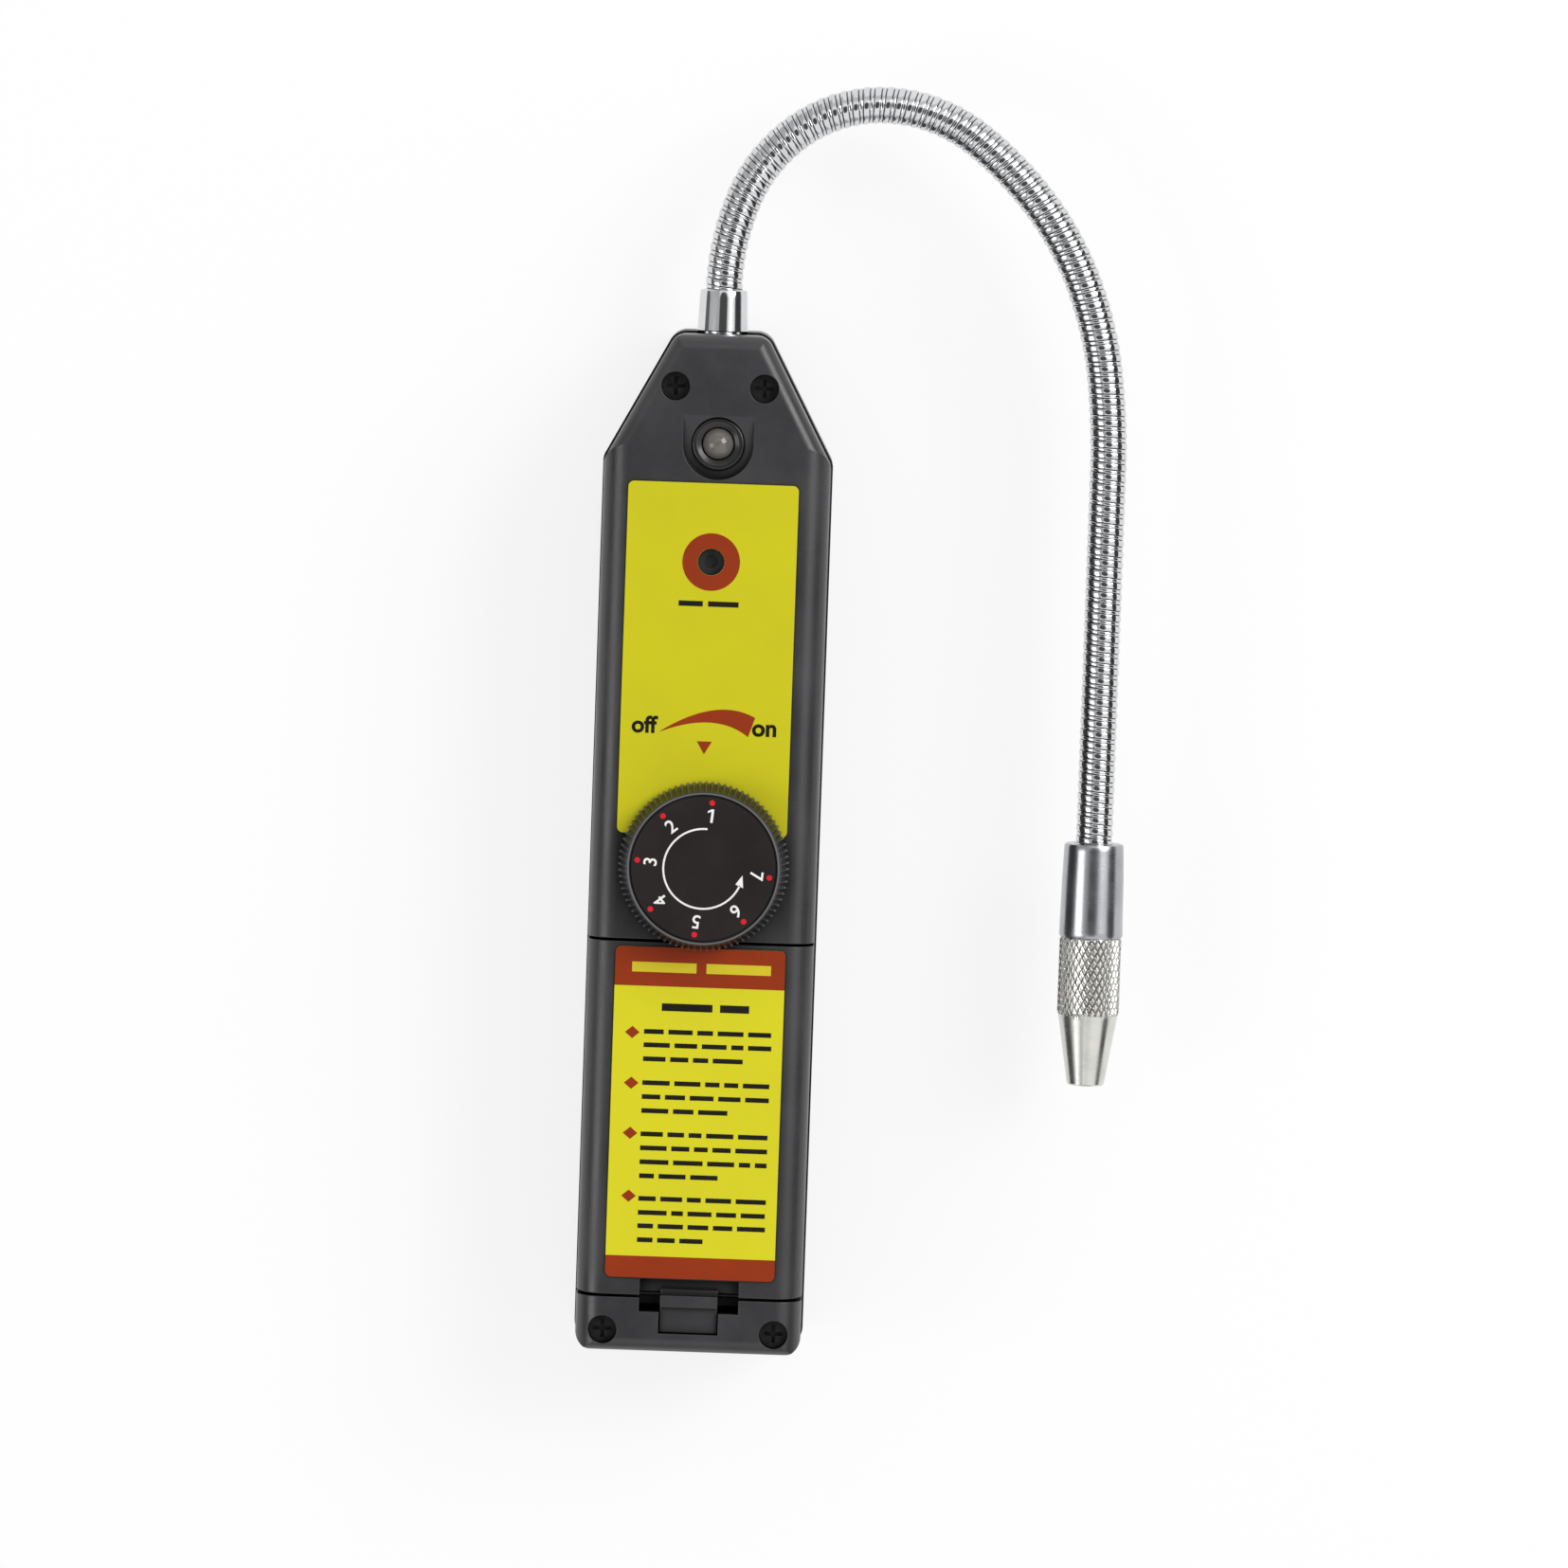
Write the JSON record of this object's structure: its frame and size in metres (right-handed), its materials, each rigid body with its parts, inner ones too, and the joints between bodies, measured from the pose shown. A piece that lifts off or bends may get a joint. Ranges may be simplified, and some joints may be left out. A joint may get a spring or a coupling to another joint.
{
  "type": "refrigerant leak detector",
  "caption": "Hand-held refrigerant leak detector: slim housing with sensitivity dial, lamp and battery cover, and a bendable gooseneck with a knurled sensor tip.",
  "frame": {"origin": "middle of the housing's flat back, on which the detector lies", "axes": "+Y along the housing towards the neck, +Z out of the front face, +X to the right seen from the front"},
  "size_m": [0.0923, 0.2179, 0.0434],
  "materials": {
    "housing": "satin moulded plastic",
    "black_screw": "blackened steel",
    "label": "printed yellow foil",
    "lamp_ring": "gloss black",
    "lamp": "clear moulded lens",
    "knob": "satin moulded plastic",
    "dial": "printed black disc",
    "control": "plated steel",
    "shaft": "turned",
    "board": "green lacquer",
    "winding": "lacquered winding",
    "capacitor": "sleeved can",
    "buzzer": "moulded",
    "cell": "sleeved can",
    "contact": "nickel plated",
    "chrome": "bright plated",
    "tip": "satin nickel, knurled",
    "ceramic": "fired ceramic"
  },
  "bodies": {
    "housing": {"front_housing": "housing", "rear_housing": "housing", "housing_screws": "black_screw", "upper_label": "label", "led_bezel": "lamp_ring", "led_lens": "lamp", "potentiometer": "control", "pot_nut": "control", "main_board": "board", "board_screws": "control", "transformer": "winding", "capacitor": "capacitor", "buzzer": "buzzer", "battery_cell_left": "cell", "battery_cell_right": "cell", "contact_bridge": "contact", "contact_tabs": "contact", "contact_springs": "contact", "neck_collar": "chrome", "neck_nut": "control", "neck_link_1": "chrome"},
    "cover": {"battery_cover": "housing", "cover_label": "label"},
    "knob": {"sensitivity_knob": "knob", "knob_dial": "dial", "pot_shaft": "shaft"},
    "neck_2": {"neck_link_2": "chrome"},
    "neck_3": {"neck_link_3": "chrome"},
    "neck_4": {"neck_link_4": "chrome"},
    "neck_5": {"neck_link_5": "chrome"},
    "neck_6": {"neck_link_6": "chrome"},
    "neck_7": {"neck_link_7": "chrome"},
    "neck_8": {"neck_link_8": "chrome"},
    "neck_9": {"neck_link_9": "chrome"},
    "neck_10": {"neck_link_10": "chrome"},
    "neck_11": {"neck_link_11": "chrome"},
    "tip": {"neck_link_12": "chrome", "sensor_holder": "tip", "tip_cap": "tip", "sensor_element": "ceramic"}
  },
  "joints": [
    {"name": "knob_turn", "type": "hinge", "parent": "housing", "child": "knob", "pos_m": [0, -0.0032, 0.036], "axis": [0, 0, 1], "range_deg": [-270, 25]},
    {"name": "cover_lift", "type": "hinge", "parent": "housing", "child": "cover", "pos_m": [0, -0.0166, 0.036], "axis": [-1, 0, 0], "range_deg": [0, 30]},
    {"name": "neck_bend_1", "type": "hinge", "parent": "housing", "child": "neck_2", "pos_m": [0.0029, 0.11034, 0.019], "axis": [0, 0, 1], "range_deg": [-1, 44]},
    {"name": "neck_bend_2", "type": "hinge", "parent": "neck_2", "child": "neck_3", "pos_m": [0.01261, 0.12277, 0.019], "axis": [0, 0, 1], "range_deg": [-1, 54]},
    {"name": "neck_bend_3", "type": "hinge", "parent": "neck_3", "child": "neck_4", "pos_m": [0.02769, 0.12717, 0.019], "axis": [0, 0, 1], "range_deg": [-1, 54]},
    {"name": "neck_bend_4", "type": "hinge", "parent": "neck_4", "child": "neck_5", "pos_m": [0.04256, 0.1219, 0.019], "axis": [0, 0, 1], "range_deg": [-1, 43]},
    {"name": "neck_bend_5", "type": "hinge", "parent": "neck_5", "child": "neck_6", "pos_m": [0.05403, 0.11082, 0.019], "axis": [0, 0, 1], "range_deg": [-1, 34]},
    {"name": "neck_bend_6", "type": "hinge", "parent": "neck_6", "child": "neck_7", "pos_m": [0.062, 0.09702, 0.019], "axis": [0, 0, 1], "range_deg": [-1, 33]},
    {"name": "neck_bend_7", "type": "hinge", "parent": "neck_7", "child": "neck_8", "pos_m": [0.066, 0.08156, 0.019], "axis": [0, 0, 1], "range_deg": [-1, 28]},
    {"name": "neck_bend_8", "type": "hinge", "parent": "neck_8", "child": "neck_9", "pos_m": [0.06704, 0.06561, 0.019], "axis": [0, 0, 1], "range_deg": [-1, 22]},
    {"name": "neck_bend_9", "type": "hinge", "parent": "neck_9", "child": "neck_10", "pos_m": [0.06704, 0.04961, 0.019], "axis": [0, 0, 1], "range_deg": [-2, 18]},
    {"name": "neck_bend_10", "type": "hinge", "parent": "neck_10", "child": "neck_11", "pos_m": [0.06704, 0.03361, 0.019], "axis": [0, 0, 1], "range_deg": [-3, 18]},
    {"name": "neck_bend_11", "type": "hinge", "parent": "neck_11", "child": "tip", "pos_m": [0.06704, 0.01761, 0.019], "axis": [0, 0, 1], "range_deg": [-4, 18]}
  ]
}
